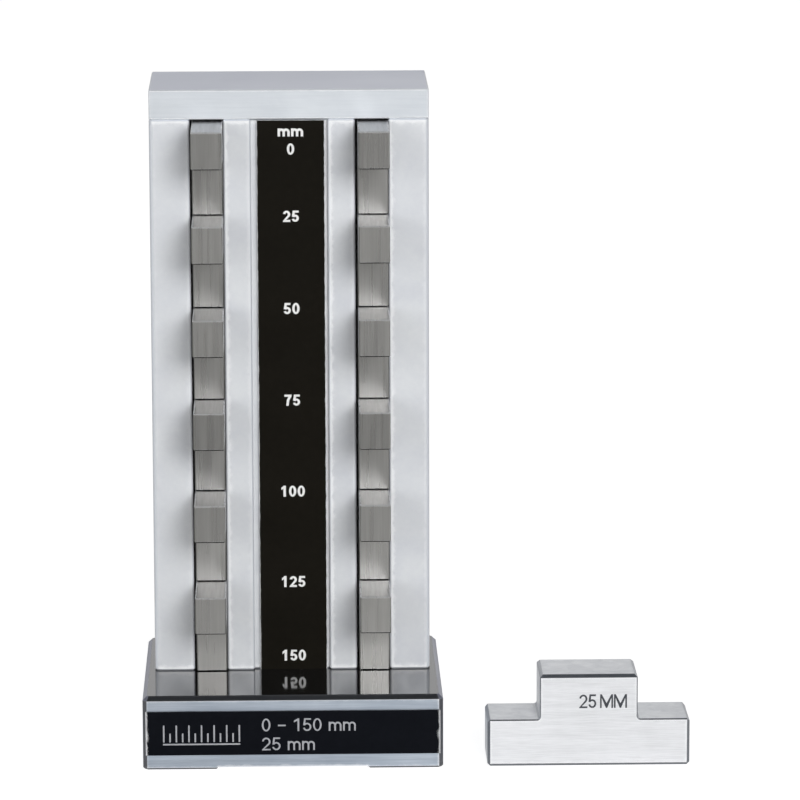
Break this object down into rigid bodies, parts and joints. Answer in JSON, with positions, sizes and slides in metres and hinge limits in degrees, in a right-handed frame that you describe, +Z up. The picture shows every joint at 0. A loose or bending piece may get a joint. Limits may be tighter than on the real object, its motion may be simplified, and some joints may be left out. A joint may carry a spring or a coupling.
{
  "type": "depth micrometer checker",
  "caption": "Upright setting gauge for depth micrometers: stepped ledge stacks on a lapped base, black scale strip, capped column and a loose T-shaped riser block.",
  "frame": {"origin": "centre of the base's underside, on the surface it stands on", "axes": "+X to the right seen from the front, +Y from the front of the base to the back, +Z up along the column"},
  "size_m": [0.1458, 0.0686, 0.1785],
  "materials": {
    "lapped_steel": "lapped to a mirror on top, ground on the sides",
    "satin_aluminium": "fine satin, clear anodised",
    "cap_aluminium": "fine satin, clear anodised",
    "ground_steel": "ground, grain upright",
    "bright_steel": "ground, grain level",
    "strip_black": "satin black with white print",
    "plate_black": "satin blue-black with pale print",
    "fastener_steel": "black oxide"
  },
  "bodies": {
    "tower": {"base": "lapped_steel", "column_body": "satin_aluminium", "cap": "cap_aluminium", "left_ledge_block_1": "ground_steel", "left_spacer_block_1": "ground_steel", "left_ledge_block_2": "ground_steel", "left_spacer_block_2": "ground_steel", "left_ledge_block_3": "ground_steel", "left_spacer_block_3": "ground_steel", "left_ledge_block_4": "ground_steel", "left_spacer_block_4": "ground_steel", "left_ledge_block_5": "ground_steel", "left_spacer_block_5": "ground_steel", "left_ledge_block_6": "ground_steel", "left_spacer_block_6": "ground_steel", "right_ledge_block_1": "ground_steel", "right_spacer_block_1": "ground_steel", "right_ledge_block_2": "ground_steel", "right_spacer_block_2": "ground_steel", "right_ledge_block_3": "ground_steel", "right_spacer_block_3": "ground_steel", "right_ledge_block_4": "ground_steel", "right_spacer_block_4": "ground_steel", "right_ledge_block_5": "ground_steel", "right_spacer_block_5": "ground_steel", "right_ledge_block_6": "ground_steel", "right_spacer_block_6": "ground_steel", "left_guide_bar": "ground_steel", "left_pressure_pad": "ground_steel", "left_pad_spring": "ground_steel", "right_guide_bar": "ground_steel", "right_pressure_pad": "ground_steel", "right_pad_spring": "ground_steel", "tie_bolts": "fastener_steel", "tie_washers": "fastener_steel", "foot_dowels": "fastener_steel", "head_dowels": "fastener_steel", "scale_strip": "strip_black", "nameplate": "plate_black"},
    "riser": {"riser_block": "bright_steel"}
  },
  "joints": [
    {"name": "riser_lift", "type": "slide", "parent": "tower", "child": "riser", "axis": [0, 0, 1], "range_m": [0, 0.18]}
  ]
}
